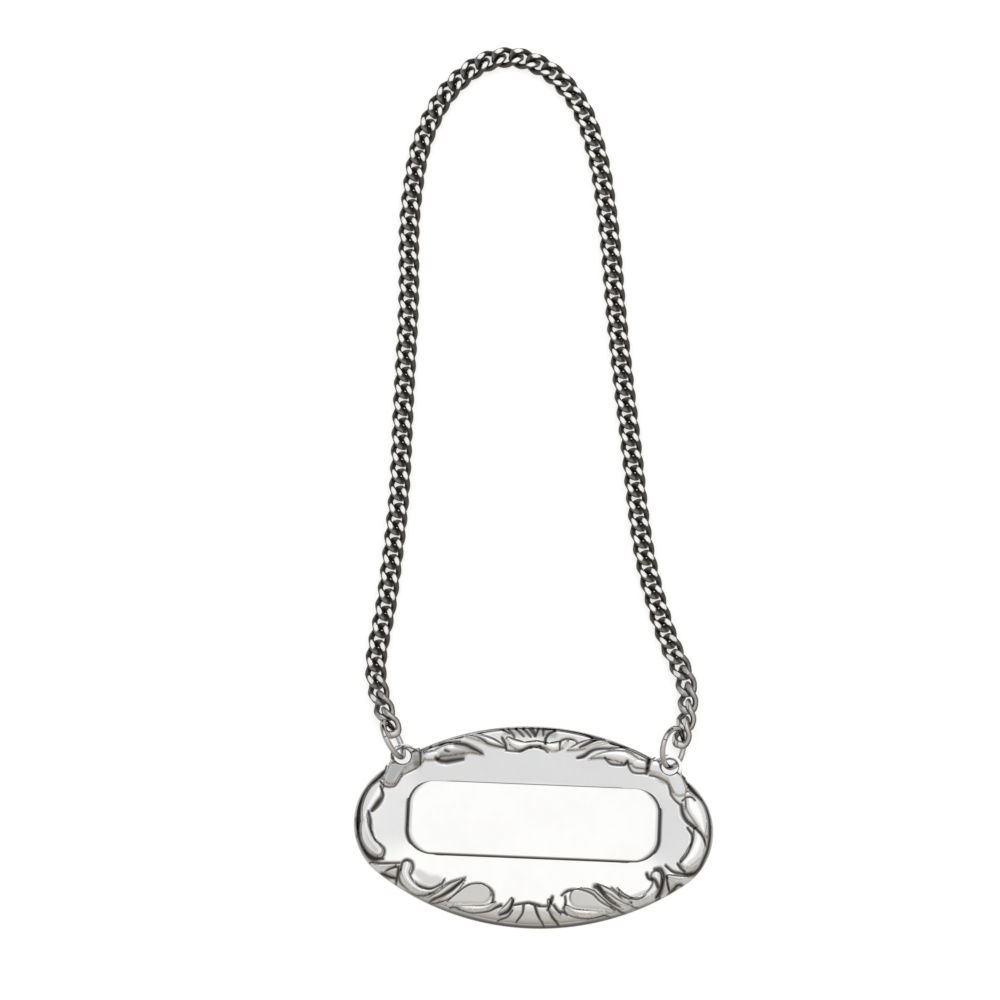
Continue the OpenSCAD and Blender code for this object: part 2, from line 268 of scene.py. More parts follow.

# Chased lines of the ornament, cut in and darkened with painted shade, on each half: a spine of [x, y, half
# width]
LEFT_LINES = {
    "end_shadow": [[-25, -0.1, 0.36], [-24.7, -2.1, 0.36], [-24.3, -3.6, 0.32], [-23.4, -5.1, 0.39],
        [-22.3, -5.9, 0.46], [-21.1, -5.9, 0.25]],
    "end_leaf_edge": [[-23.4, 0.8, 0.16], [-23.1, -0.3, 0.22], [-23, -1.4, 0.22], [-22.7, -2.4, 0.16],
        [-22.2, -3.3, 0.14], [-21.5, -3.9, 0.14], [-20.9, -4.5, 0.16], [-20.9, -5.3, 0.16],
        [-21.2, -5.8, 0.16]],
    "tie_top": [[-23, -6.3, 0.12], [-21.4, -6.5, 0.12], [-20, -6.5, 0.12], [-18.6, -6.4, 0.12]],
    "scroll_head": [[-18.5, -7.5, 0.16], [-18.3, -6.4, 0.16], [-17.7, -5.9, 0.16], [-16.9, -6.2, 0.16],
        [-16.7, -7.1, 0.16], [-16.9, -7.9, 0.11]],
    "scroll_inner": [[-16.3, -9.1, 0.05], [-15.8, -9.6, 0.14], [-14.5, -10, 0.18], [-13.5, -9.8, 0.18],
        [-12.6, -9.2, 0.16], [-12.2, -8.5, 0.09]],
    "scroll_outer": [[-18.7, -7, 0.14], [-18.7, -8.1, 0.14], [-18.5, -9, 0.14], [-17.7, -9.8, 0.12],
        [-16.6, -10.6, 0.12], [-15.6, -10.9, 0.12], [-14.5, -10.9, 0.12], [-13.5, -10.5, 0.12],
        [-12.3, -9.5, 0.12], [-11.1, -8.8, 0.14], [-9.3, -8.1, 0.09]],
    "tie_wedge": [[-22.2, -7.8, 0.16], [-21, -7.9, 0.25], [-20.1, -8.3, 0.25], [-19.1, -8.6, 0.18]],
    "tie_wedge_top": [[-20.6, -7.6, 0.11], [-19.8, -7.3, 0.14], [-18.8, -7, 0.14]],
    "tie_post": [[-18.8, -7, 0.21], [-18.9, -8.3, 0.23], [-19.1, -9.4, 0.18]],
    "long_leaf_heart": [[-9.3, -8.4, 0.07], [-10.5, -9.5, 0.23], [-11.4, -10.3, 0.28], [-12.6, -11.1, 0.21],
        [-13.8, -11.6, 0.14], [-14.6, -11.8, 0.07]],
    "long_leaf_edge": [[-9.3, -8.6, 0.07], [-10.3, -10.3, 0.11], [-11.5, -11.4, 0.11], [-12.7, -11.8, 0.12],
        [-14.1, -11.9, 0.12], [-15.5, -11.8, 0.11], [-16.6, -11.6, 0.09]],
    "oval_edge": [[-11.6, -11.6, 0.11], [-10.6, -10.7, 0.14], [-9.6, -9.8, 0.14], [-8.6, -9.2, 0.16],
        [-7.3, -9, 0.16], [-6.3, -9.3, 0.16], [-5.5, -9.9, 0.16], [-5.2, -10.6, 0.16], [-5.3, -11.7, 0.16]],
    "oval_roll_edge": [[-11.3, -12.5, 0.11], [-10.5, -12.5, 0.12], [-9.5, -12.9, 0.12], [-8, -13.2, 0.12],
        [-6.6, -13.1, 0.14], [-5.6, -12.9, 0.16], [-4.8, -12.4, 0.21], [-4.1, -12, 0.23]],
    "fan_leaf_heart": [[-2.4, -11.1, 0.14], [-2.6, -12.1, 0.25], [-3.1, -12.9, 0.3], [-4.2, -13.4, 0.18]],
    "fan_leaf_edge": [[-2.4, -12.7, 0.14], [-3.1, -13.6, 0.14], [-4.5, -14.1, 0.11]],
    "fan_rib": [[-0.9, -11.7, 0.16], [-1, -13, 0.16], [-1.8, -14.2, 0.14]],
    "fan_top": [[-2.3, -11.9, 0.14], [-0.9, -11.6, 0.16], [0, -11.5, 0.16], [1.4, -11.8, 0.16]],
    "fan_rib_middle": [[0.7, -11.8, 0.16], [1.1, -12.9, 0.16], [1.6, -13.9, 0.14]],
    "end_edge": [[-21.5, 6.7, 0.25], [-22.6, 5.5, 0.3], [-23.6, 4.3, 0.32], [-24.3, 2.9, 0.34],
        [-24.7, 1.4, 0.36], [-24.8, -0.1, 0.38], [-24.7, -2.6, 0.38]],
    "ear_side": [[-21.4, 9.1, 0.16], [-21.3, 7.8, 0.16], [-21.4, 7, 0.16]],
    "ear_top": [[-20.6, 10.3, 0.11], [-19.6, 10.6, 0.12], [-18.4, 10.5, 0.12], [-17.1, 10.2, 0.12]],
    "ear_inner_edge": [[-16.5, 10, 0.16], [-16.4, 9, 0.16], [-16.4, 8, 0.14]],
    "ear_foot": [[-16.5, 8, 0.14], [-17.1, 7.4, 0.12], [-18.2, 6.8, 0.12], [-18.9, 6.4, 0.12],
        [-19.4, 5.5, 0.12], [-19.9, 4.8, 0.12], [-20.7, 4.6, 0.14], [-21.5, 4.8, 0.14], [-21.9, 5.2, 0.14]],
    "upper_leaf_edge": [[-21.9, 4.6, 0.14], [-21.6, 3.9, 0.16], [-21.5, 3.2, 0.2], [-22.1, 2.1, 0.36],
        [-22.9, 1, 0.21]],
    "top_edge": [[-16.7, 10, 0.14], [-15.9, 10.5, 0.14], [-13.8, 11.7, 0.12], [-11.3, 12.6, 0.12],
        [-8.7, 13.3, 0.12], [-6.4, 13.7, 0.14], [-5, 13.7, 0.16], [-3.9, 13.2, 0.16]],
    "top_leaf_tip": [[-11.6, 11.5, 0.16], [-10.2, 11.3, 0.27], [-9.1, 10.8, 0.32], [-8, 10.2, 0.3],
        [-7.6, 10, 0.14]],
    "top_leaf_foot": [[-14.2, 9, 0.3], [-13.1, 8.7, 0.4], [-11.9, 8.9, 0.4], [-10.4, 9.2, 0.28]],
    "top_leaf_eye": [[-13, 10.2, 0.18], [-12.4, 10, 0.16]],
    "top_leaf_edge": [[-15.7, 10.5, 0.07], [-14.1, 11.1, 0.11], [-12.5, 11.6, 0.12], [-10.9, 11.7, 0.12]],
    "top_spray_edge": [[-10.1, 12.7, 0.09], [-8.5, 12.3, 0.14], [-7.6, 11.9, 0.18], [-6.7, 11.4, 0.14],
        [-4.3, 10.9, 0.12]],
    "top_lobe_side": [[-5, 12.5, 0.18], [-4.5, 11.6, 0.2], [-4.3, 10.7, 0.16]],
    "top_fan_1": [[-4.2, 13.9, 0.21], [-3.2, 12.7, 0.14]],
    "top_fan_2": [[-3, 13.9, 0.2], [-1.9, 12.8, 0.14]],
    "top_fan_3": [[-2, 14, 0.21], [-0.9, 12.8, 0.16]],
    "top_fan_4": [[-0.7, 14, 0.23], [-0.2, 13, 0.16]],
    "top_lobe_edge": [[-4.3, 10.7, 0.14], [-3.4, 10.6, 0.14], [-2.4, 10.6, 0.16], [-1.7, 10.9, 0.14],
        [-1, 11.2, 0.14], [0.5, 11.4, 0.14]],
}
RIGHT_LINES = {
    "tie_knot": [[17.4, -5.8, 0.21], [18.2, -5.8, 0.32], [18.7, -6.7, 0.32], [18.6, -7.8, 0.36],
        [18.2, -9.1, 0.39], [17.7, -9.8, 0.21]],
    "scroll_head": [[16.3, -6.5, 0.21], [16.6, -7.1, 0.25], [17.5, -7.6, 0.27], [18, -8.5, 0.28]],
    "scroll_inner": [[11.4, -8.8, 0.12], [12.3, -9.5, 0.14], [13.3, -10.2, 0.16], [14.4, -10.4, 0.16],
        [15.5, -10.3, 0.14], [16.3, -9.7, 0.07]],
    "scroll_outer": [[9.5, -9.1, 0.12], [11.2, -9.9, 0.12], [12.3, -10.6, 0.12], [13.7, -11.2, 0.12],
        [15.1, -11.3, 0.12], [16.5, -10.8, 0.12], [17.8, -10.1, 0.14], [18.3, -9.6, 0.16]],
    "long_leaf_heart": [[9.1, -8.7, 0.36], [9.6, -8.9, 0.34], [10.5, -10.1, 0.23], [11.6, -11, 0.21],
        [12.7, -11.5, 0.12]],
    "long_leaf_edge": [[8.9, -9.3, 0.14], [9.8, -10.1, 0.14], [10.9, -11, 0.14], [12, -11.7, 0.14],
        [13.1, -12.1, 0.14], [14.7, -12.1, 0.11]],
    "oval_edge": [[4.4, -10.2, 0.14], [5.2, -9.5, 0.16], [6.3, -9.3, 0.16], [7.5, -9.5, 0.16],
        [8.8, -10, 0.16], [9.8, -10.9, 0.14], [10.9, -11.5, 0.14], [12, -12, 0.12]],
    "oval_end": [[4.9, -10.3, 0.14], [5, -11.2, 0.14], [4.8, -12, 0.14]],
    "oval_roll_edge": [[4.7, -12.1, 0.16], [5.3, -12.9, 0.12], [6.6, -13.3, 0.12], [8.2, -13.3, 0.12],
        [9.6, -13, 0.12], [10.6, -12.7, 0.12], [11.6, -12.8, 0.09]],
    "fan_leaf_heart": [[3.1, -10.5, 0.21], [2.8, -11.7, 0.25], [2.5, -12.5, 0.18]],
    "fan_leaf_edge": [[3.4, -11.7, 0.18], [4.1, -12.6, 0.23], [4.8, -12.7, 0.23], [5.3, -13.1, 0.12]],
    "fan_rib": [[2.7, -12.6, 0.18], [3.3, -13.5, 0.23], [4.3, -14.4, 0.16]],
    "fan_rib_middle": [[0.7, -12, 0.16], [1.1, -13.2, 0.16], [2.1, -14.5, 0.14]],
    "fan_top": [[0, -11.5, 0.16], [1.1, -11.9, 0.16], [2.3, -11.9, 0.16]],
    "end_shadow": [[25, 0.9, 0.28], [25, -0.6, 0.28], [24.8, -2.4, 0.28], [24.3, -3.9, 0.28],
        [23.6, -5.4, 0.3], [22.6, -6.2, 0.32], [21.4, -6.3, 0.21]],
    "end_leaf_edge": [[21.8, 0.4, 0.16], [22.5, -0.7, 0.18], [22.4, -2.1, 0.18], [21.8, -3.6, 0.16],
        [21, -4.7, 0.18]],
    "end_leaf_foot": [[20.6, -4.9, 0.18], [21, -5.5, 0.21], [21.6, -6, 0.25]],
    "tie_top": [[22.2, -6.5, 0.18], [21, -6.3, 0.21], [19.9, -6, 0.18], [18.9, -5.2, 0.18]],
    "tie_wedge": [[21.9, -7.7, 0.14], [20.8, -7.8, 0.23], [20.2, -8.4, 0.25], [19.4, -9.2, 0.21]],
    "tie_post": [[19, -6.7, 0.18], [19.3, -7.9, 0.21], [19.7, -9.2, 0.18]],
    "end_leaf_spine": [[22.2, 0.8, 0.18], [23.4, -0.1, 0.2], [24.1, -1, 0.18], [24.5, -2.2, 0.14]],
    "top_fan_1": [[-1, 13.9, 0.25], [-0.3, 12.9, 0.18]],
    "top_fan_2": [[0.1, 14, 0.21], [-0.3, 12.9, 0.16]],
    "top_fan_3": [[0.8, 14, 0.2], [0.9, 13, 0.14]],
    "top_fan_4": [[2.5, 13.9, 0.18], [1.6, 13.3, 0.21], [1.2, 12.6, 0.2], [1.2, 11.7, 0.14]],
    "top_edge": [[1.2, 14, 0.14], [2.8, 14, 0.14], [4.6, 13.8, 0.16], [6.4, 13.5, 0.18], [8.2, 13, 0.18],
        [10.4, 12.4, 0.18], [12.2, 11.9, 0.16], [14, 11.5, 0.16], [15, 11, 0.16], [15.9, 10.5, 0.18]],
    "top_lobe_edge": [[-1, 11.3, 0.12], [0.1, 11.3, 0.14], [1, 11.1, 0.16], [1.6, 10.6, 0.12]],
    "top_lobe_side": [[3.3, 11, 0.12], [3.3, 12.2, 0.14], [3.6, 12.5, 0.14], [4.3, 12.7, 0.14],
        [5.2, 12.6, 0.12], [5.8, 12.2, 0.09]],
    "top_spray": [[6.1, 11.4, 0.16], [7, 11.9, 0.25], [8.2, 12.6, 0.23], [9.6, 12.8, 0.11]],
    "top_leaf": [[5.8, 10, 0.18], [6.7, 10.3, 0.27], [7.6, 11, 0.23], [8.6, 11.4, 0.2], [10.4, 11.6, 0.14],
        [12.2, 11.8, 0.09]],
    "scallop_1": [[9.7, 10.1, 0.12], [10.5, 9.4, 0.16], [11.6, 9.2, 0.18], [12.6, 9.3, 0.18],
        [12.9, 9.7, 0.21]],
    "scallop_2": [[13, 9.7, 0.18], [13.2, 9, 0.16], [13.7, 8.3, 0.14], [14.6, 8.1, 0.14], [15.7, 8.2, 0.16]],
    "ear_inner_edge": [[16, 10.4, 0.28], [15.9, 9.3, 0.34], [15.7, 8.2, 0.28]],
    "ear_top": [[16.3, 10.3, 0.12], [17, 10.6, 0.12], [17.5, 10.8, 0.14]],
    "ear_foot": [[16.2, 7.9, 0.16], [17.3, 7.6, 0.16], [18.6, 6.9, 0.14], [19.1, 6, 0.16], [19.3, 5.2, 0.16],
        [19.9, 4.4, 0.14], [20.6, 3.8, 0.16]],
    "upper_leaf_shadow": [[20.8, 3.7, 0.27], [21.1, 2.4, 0.34], [21.7, 1.4, 0.3], [22.7, 0.6, 0.25],
        [23.6, -0.3, 0.23]],
    "end_edge": [[20.9, 7.9, 0.21], [21.5, 6.9, 0.25], [22.6, 5.6, 0.28], [23.9, 4.2, 0.28],
        [24.6, 2.7, 0.28], [24.9, 1.3, 0.28], [25, -0.6, 0.28]],
    "curl": [[20.9, 4.3, 0.12], [21.4, 4.7, 0.11], [22.2, 4.8, 0.11], [22.8, 4.3, 0.09]],
}
LINE_DEPTH = 0.14
LINE_REACH = 1.0

# A chased line has its full depth up to LINE_FULL half widths from its middle, and ends at LINE_END.
LINE_FULL = 0.2
LINE_END = 1.6
LEAST_HALF_W = 0.05

# Form of the links past their plain wire: filed flats, fuller ends, and flanks, end faces and upturned wire
# made lighter with wear and painted highlight
LINK_SIDES = 24
LINK_ARC_STEPS = 10
FLAT_CUT = 0.108
TIP_FROM = 0.35
TIP_FULL = 0.34
TIP_REACH = 0.6
TIP_SEAT = 0.03
FLANK_RUB_AND_SHEEN = 0.12
FLANK_FROM = 0.5
TIP_RUB_AND_SHEEN = 0.35
# Painted highlight where a tilted link's wire faces up
TOP_SHEEN = 1.2

# Grid of a jump ring, and the painted shade under its wire
RING_STEPS = 97
RING_SIDES = 20
RING_UNDER_SHADE = 0.6

# Bends past these angles, in degrees, stay sharp
PLATE_SHARP = 62
RING_SHARP = 50
LINK_SHARP = 22


def spine(points, count=64):
    """A smooth line through points: each span is a cubic whose end slopes are half the neighbours' step."""
    p = np.array(points, float)
    p = np.vstack([2 * p[0] - p[1], p, 2 * p[-1] - p[-2]])
    t = np.linspace(0, len(p) - 3, count)
    i = np.minimum(t.astype(int), len(p) - 4)
    f = (t - i)[:, None]
    a, b, c, d = p[i], p[i + 1], p[i + 2], p[i + 3]
    return b + 0.5 * f * (c - a + f * (2 * a - 5 * b + 4 * c - d + f * (3 * (b - c) + d - a)))


def near_line(places, line, reach):
    """Numbers of the places in the box round a line, their distance from it and the half width there."""
    low, high = line[:, :2].min(0) - reach, line[:, :2].max(0) + reach
    here = np.flatnonzero(((places > low) & (places < high)).all(1))
    gaps = np.linalg.norm(places[here][:, None, :] - line[None, :, :2], axis=2)
    number = gaps.argmin(1)
    return here, gaps[np.arange(len(here)), number], np.maximum(line[number, 2], LEAST_HALF_W)


def with_leaves(places, base, room):
    """Height of the face with its leaves, where the bare face has the height base.

    A leaf's top lies level at LEAF_Z whatever the face does under it, with a crown of 1 - (distance / half
    width)^2 and a tilt. Its side falls to the face over LEAF_EDGE. The highest leaf wins.
    """
    left = np.stack([-np.abs(places[:, 0]), places[:, 1]], 1)
    face = base.copy()
    leaves = [(left, leaf) for leaf in LEAVES.values()] + [(places, leaf) for leaf in RIGHT_LEAVES.values()]
    for spots, (points, crown, tilt) in leaves:
        line = spine(points)
        here, distance, half_w = near_line(spots, line, LEAF_REACH)
        top = LEAF_Z + crown * (1 - (distance / half_w) ** 2) + (spots[here] - line[:, :2].mean(0)) @ tilt
        share = smooth((half_w - distance) / LEAF_EDGE) * room[here]
        face[here] = np.maximum(face[here], base[here] + (top - base[here]) * share)
    return face


def chased(places):
    """How far each place lies inside a chased line: 1 in its middle, eased to 0 outside it."""
    dark = np.zeros(len(places))
    for points in (*LEFT_LINES.values(), *RIGHT_LINES.values()):
        here, distance, half_w = near_line(places, spine(points), LINE_REACH)
        inside = (LINE_END - distance / half_w) / (LINE_END - LINE_FULL)
        dark[here] = np.maximum(dark[here], smooth(inside))
    return dark


def shaded(places):
    """Darkness of the soft painted shades, each eased off over one half width."""
    dark = np.zeros(len(places))
    for points, darkness in SHADES.values():
        here, distance, half_w = near_line(places, spine(points), LEAF_REACH)
        dark[here] = np.maximum(dark[here], darkness * smooth(SHADE_END - distance / half_w))
    return dark


def panel_distance(places):
    """Distance of each place from the panel's outline, a rectangle with round corners."""
    corner = np.abs(places - [0, PANEL_Y]) - [PANEL_W / 2 - PANEL_R, PANEL_H / 2 - PANEL_R]
    return np.clip(np.linalg.norm(np.clip(corner, 0, None), axis=1) - PANEL_R, 0, None)


def ground(places, inset):
    """Height of the plate without ornament: a quarter ellipse up from the edge, and a dish to the panel."""
    shelf = FIELD_Z + DISH_SLOPE * panel_distance(places)
    width = RIM_W - RIM_LEAN * places[:, 1] / (LABEL_H / 2)
    width = width + FAN_RIM * np.exp(-(places[:, 0] / FAN_HALF_W) ** 2) * (places[:, 1] < 0)
    rim = np.sqrt(np.clip(1 - (1 - np.clip(inset / width, 0, 1)) ** 2, 0, 1))
    return EDGE_TOP_Z + (shelf - EDGE_TOP_Z) * rim


def ear_distance(places):
    """Distance of each place from the middle of the nearer ear hole."""
    return np.hypot(np.abs(places[:, 0]) - EAR_X, places[:, 1] - EAR_Y)


def back_height(places, inset):
    """Height of the plate's back: the foot on the table, the sheet under the face, arches under the ears."""
    back = np.maximum(TABLE_Z, ground(places, inset - FOOT_W) - SHEET)
    back = np.where(inset < FOOT_W, TABLE_Z, back)
    arch = smooth((EAR_ARCH_R - ear_distance(places)) / EAR_ARCH_FADE)
    return back + (np.maximum(back, EAR_TOP_Z - SHEET) - back) * arch


def front_height(places, inset):
    """Height of the plate's face with leaves, chased lines and ears, and its painted shade from 0 to 1.

    The ears are flat discs at EAR_TOP_Z with a half-round bead, and keep EAR_SHEET of metal over their arch.
    The lower edge has a painted shade over FOOT_SHADE_IN and a painted dark line that ends at one and a half
    FOOT_LINE.
    """
    base = ground(places, inset)
    room = smooth(inset / ORNAMENT_INSET)
    away = ear_distance(places)
    in_ear = smooth((EAR_FACE_R - away) / EAR_FACE_FADE)
    bead = EAR_BEAD * np.sqrt(np.clip(1 - ((away - EAR_BEAD_R) / EAR_BEAD_HALF_W) ** 2, 0, None))
    face = np.maximum(with_leaves(places, base, room), base + (EAR_TOP_Z - base) * in_ear + bead)
    # Painted shade in the chased lines and in a ring round each ear hole; both are also cut in
    dark = np.maximum(chased(places), smooth((EAR_HOLE_R + HOLE_SHADE_W - away) / HOLE_SHADE_W))
    face = face - LINE_DEPTH * dark * room
    metal = EAR_SHEET * smooth((EAR_SHEET_R - away) / EAR_SHEET_FADE)
    face = np.maximum(face, back_height(places, inset) + metal)
    # Painted shade and a painted dark line along the lower edge
    low = smooth(-places[:, 1] / (LABEL_H / 4) - 1)
    foot = np.maximum(FOOT_SHADE * smooth(1 - inset / FOOT_SHADE_IN), smooth(1.5 - inset / FOOT_LINE))
    return face, np.maximum(np.maximum(dark, shaded(places)), foot * low)


def ring_faces(first, second, count, removed=None):
    """Quads between two rings of vertices that are numbered from first and second."""
    j = np.arange(count)
    quads = np.stack([first + j, first + (j + 1) % count, second + (j + 1) % count, second + j], 1)
    return quads if removed is None else quads[~removed]


def label_mesh():
    """The plate as one closed skin.

    Columns run round the outline and rows run inwards: shared rows across the rim and the ears, then the
    border, the field, the panel's wall and its face, which closes along the middle line. The back has the
    same columns. Places inside an ear hole move out to its circle, and the cells there are left out.
    """
    share = (np.arange(COLUMNS) + 0.5) / COLUMNS
    outline, out = oval_outline(share)
    ear_side = np.where(outline[:, 0] > 0, 1, -1)
    angle = np.arctan2(outline[:, 1] + SIDE_Y, outline[:, 0] * ear_side)
    on_top = outline[:, 1] > 0
    bulge = np.where(on_top, ear_bulge(SIDE_R * (angle - EAR_ANGLE)), 0.0)

    def border_row(i):
        """Row i of the border: its places and its distance in from the oval."""
        s = i * ROW_STEP
        inset = s - bulge * max(1 - s / EAR_FADE, 0)
        return outline - inset[:, None] * out, np.broadcast_to(inset, COLUMNS)

    holes = np.array([[side * EAR_X, EAR_Y] for side in (-1, 1)])
    rows, insets, inside = [], [], []
    for i in range(BORDER_ROWS):
        places, inset = border_row(i)
        in_hole = np.zeros(COLUMNS, bool)
        for hole in holes:
            offset = places - hole
            gap = np.linalg.norm(offset, axis=1)
            near = gap < EAR_HOLE_R
            places[near] = hole + EAR_HOLE_R * offset[near] / np.maximum(gap[near], 1e-6)[:, None]
            in_hole |= near
        rows.append(places)
        insets.append(inset)
        inside.append(in_hole)
    inside = np.array(inside)
    removed = inside[:-1] & inside[1:] & np.roll(inside[:-1], -1, 1) & np.roll(inside[1:], -1, 1)

    def panel_row(grow):
        """The panel's outline, grown outwards or drawn in by a distance."""
        radius = max(PANEL_R + grow, LEAST_R)
        return box_outline(share, PANEL_W + 2 * grow, PANEL_H + 2 * grow, radius) + [0, PANEL_Y]

    # Each row's painted shade, and on the back its darkness
    points, faces, shade_and_tarnish = [], [], []

    def add_row(places, height, dark):
        """Appends a row of vertices and returns the number of its first one."""
        first = sum(len(p) for p in points)
        points.append(np.column_stack([places, np.broadcast_to(height, COLUMNS)]))
        shade_and_tarnish.append(np.broadcast_to(dark, COLUMNS))
        return first

    def close_middle(first):
        """Faces that join the two halves of the last row across the middle line."""
        j = np.arange(COLUMNS // 2 - 1)
        far = first + COLUMNS - 1 - j
        faces.append(np.stack([first + j, first + j + 1, far - 1, far], 1))

    # Front: border, field, wall and face of the panel
    front = []
    for places, inset in zip(rows, insets):
        front.append(add_row(places, *front_height(places, inset)))
    start = rows[-1]
    foot = panel_row(PANEL_FOOT)
    for step in np.arange(1, FRONT_FIELD_ROWS) / FRONT_FIELD_ROWS:
        places = start + (foot - start) * step
        front.append(add_row(places, *front_height(places, np.full(COLUMNS, BORDER_IN))))
    face_edge = panel_row(0)
    at_end = smooth((np.abs(face_edge[:, 0]) - PANEL_W / 2 + WALL_END_FROM) / WALL_END_FADE)
    for grow, height, dark in PANEL_ROWS:
        broad = 1 + WALL_END * at_end * (grow > -WALL_EDGE)
        front.append(add_row(face_edge + (panel_row(grow) - face_edge) * broad[:, None], height, dark))
    for i, (a, b) in enumerate(zip(front, front[1:])):
        faces.append(ring_faces(a, b, COLUMNS, removed[i] if i < BORDER_ROWS - 1 else None))
    close_middle(front[-1])

    # Back: the same rows across the ears, then the hollow of the field and of the panel
    back = []
    for places, inset in list(zip(rows, insets))[:SHARED_ROWS]:
        back.append(add_row(places, back_height(places, inset), BACK_DARKNESS))
    start = rows[SHARED_ROWS - 1]
    hollow = panel_row(PANEL_FOOT - PANEL_WALL)
    for step in np.arange(1, BACK_FIELD_ROWS) / BACK_FIELD_ROWS:
        places = start + (hollow - start) * step
        back.append(add_row(places, back_height(places, np.full(COLUMNS, BORDER_IN)), BACK_DARKNESS))
    for grow, height in HOLLOW_ROWS:
        back.append(add_row(panel_row(grow - PANEL_WALL), height, BACK_DARKNESS))
    for i, (a, b) in enumerate(zip(back, back[1:])):
        faces.append(ring_faces(a, b, COLUMNS, removed[i] if i < SHARED_ROWS - 1 else None)[:, ::-1])
    close_middle(back[-1])

    # Upright edge, and the walls of the two holes where a left-out cell meets a kept one
    faces.append(ring_faces(back[0], front[0], COLUMNS))
    gone = removed[:SHARED_ROWS - 1]
    row, column = np.meshgrid(np.arange(SHARED_ROWS - 1), np.arange(COLUMNS), indexing="ij")
    after = (column + 1) % COLUMNS
    depth = back[0] - front[0]
    step_in = front[1] - front[0]
    for kept, a_row, a_col, b_row, b_col in (
            (~np.roll(gone, -1, 1), row, after, row + 1, after),
            (~np.roll(gone, 1, 1), row, column, row + 1, column),
            (~np.vstack([gone[1:], gone[:1]]), row + 1, column, row + 1, after),
            (~np.vstack([gone[-1:], gone[:-1]]), row, column, row, after)):
        edge = gone & kept
        a = front[0] + a_row[edge] * step_in + a_col[edge]
        b = front[0] + b_row[edge] * step_in + b_col[edge]
        faces.append(np.stack([a, b, b + depth, a + depth], 1))
    return np.vstack(points), [np.vstack(faces)], np.concatenate(shade_and_tarnish)


def add_piece(name, points, face_sets, sharp_angle, shade_and_tarnish):
    """Makes an object from millimetre points, sets of faces and the points' painted shade and tarnish, with
    normals outwards.

    Points that no face uses are left out.
    """
    used = np.unique(np.concatenate([faces.ravel() for faces in face_sets]))
    number = np.zeros(len(points), int)
    number[used] = np.arange(len(used))
    corners = sum((number[faces].tolist() for faces in face_sets), [])
    mesh = bpy.data.meshes.new(name)
    mesh.from_pydata((points[used] * MM).tolist(), [], corners)
    # The points' painted shade and tarnish, for the material
    layer = mesh.attributes.new("shade_and_tarnish", "FLOAT", "POINT")
    layer.data.foreach_set("value", shade_and_tarnish[used].astype(np.float32))
    work = bmesh.new()
    work.from_mesh(mesh)
    bmesh.ops.recalc_face_normals(work, faces=work.faces)
    work.to_mesh(mesh)
    work.free()
    mesh.shade_smooth()
    mesh.set_sharp_from_angle(angle=math.radians(sharp_angle))
    piece = bpy.data.objects.new(name, mesh)
    scene.collection.objects.link(piece)
    return piece


def wire(path, middle, radius, sides, closed):
    """A drawn wire: circles of points square to a path that bends round a middle point.

    A circle's first direction points away from the middle, and its second is square to that and to the path.
    """
    ahead = np.roll(path, -1, 0) - np.roll(path, 1, 0)
    if not closed:
        ahead[0], ahead[-1] = path[1] - path[0], path[-1] - path[-2]
    ahead = unit(ahead)
    away = path - middle
    away = unit(away - ahead * (away * ahead).sum(1, keepdims=True))
    over = np.cross(ahead, away)
    turn = np.linspace(0, 2 * np.pi, sides, endpoint=False)[:, None]
    points = path[:, None] + radius * (np.cos(turn) * away[:, None] + np.sin(turn) * over[:, None])
    count = len(path)
    i, j = np.meshgrid(np.arange(count if closed else count - 1), np.arange(sides), indexing="ij")
    after, beside = (i + 1) % count, (j + 1) % sides
    faces = np.stack([i * sides + j, i * sides + beside, after * sides + beside, after * sides + j], -1)
    return points.reshape(-1, 3), faces.reshape(-1, 4)


def heading(turn):
    """Direction on the table, turned from +Y towards -X by an angle in degrees."""
    return np.array([-math.sin(math.radians(turn)), math.cos(math.radians(turn)), 0.0])


def ring_frame(side, turn, lean):
    """Middle of a jump ring that goes through its ear hole and stands on the table, and its directions."""
    along = heading(turn)
    lean = math.radians(lean)
    rise = math.sin(lean) * np.cross([0, 0, 1], along) + math.cos(lean) * np.array([0, 0, 1.0])
    hole = np.array([side * EAR_X, EAR_Y, EAR_TOP_Z - SHEET / 2])
    lift = (TABLE_Z + RING_WIRE / 2 + RING_R * math.cos(lean) - hole[2]) / math.cos(lean)
    return hole + along * math.sqrt(RING_R ** 2 - lift ** 2) + rise * lift, along, rise


def ring_hook(side, turn, lean, height):
    """Point of a jump ring's wire at a height, on the side away from the plate."""
    middle, along, rise = ring_frame(side, turn, lean)
    drop = (middle[2] - height) / math.cos(math.radians(lean))
    return middle + along * math.sqrt(RING_R ** 2 - drop ** 2) - rise * drop


def jump_ring(side, turn, lean):
    """A jump ring with butted ends: a circle of wire, less its gap, and a fan of triangles over each end.

    Returns its points, its sets of faces, and the painted shade of the wire away from its upper side.
    """
    middle, along, rise = ring_frame(side, turn, lean)
    half_gap = RING_GAP / 2 / RING_R
    bend = np.linspace(half_gap, 2 * np.pi - half_gap, RING_STEPS)[:, None]
    path = middle + RING_R * (np.cos(bend) * rise + np.sin(bend) * along)
    points, faces = wire(path, middle, RING_WIRE / 2, RING_SIDES, False)
    count = len(points)
    j = np.arange(RING_SIDES)
    start_fan = np.stack([j, (j + 1) % RING_SIDES, np.full(RING_SIDES, count)], 1)
    end_fan = start_fan + [count - RING_SIDES, count - RING_SIDES, 1]
    # Painted shade on the lower side of the wire
    height = (points[:, 2] - np.repeat(path[:, 2], RING_SIDES)) / (RING_WIRE / 2)
    wire_shade_and_tarnish = RING_UNDER_SHADE * smooth(1 - np.concatenate([height, [0, 0]]))
    return np.vstack([points, path[[0, -1]]]), [faces, start_fan, end_fan], wire_shade_and_tarnish


def link_half_l(pitch):
    """Half the length of a link's middle line, for a pitch of the chain."""
    return (pitch + LINK_WIRE + LINK_SLACK) / 2


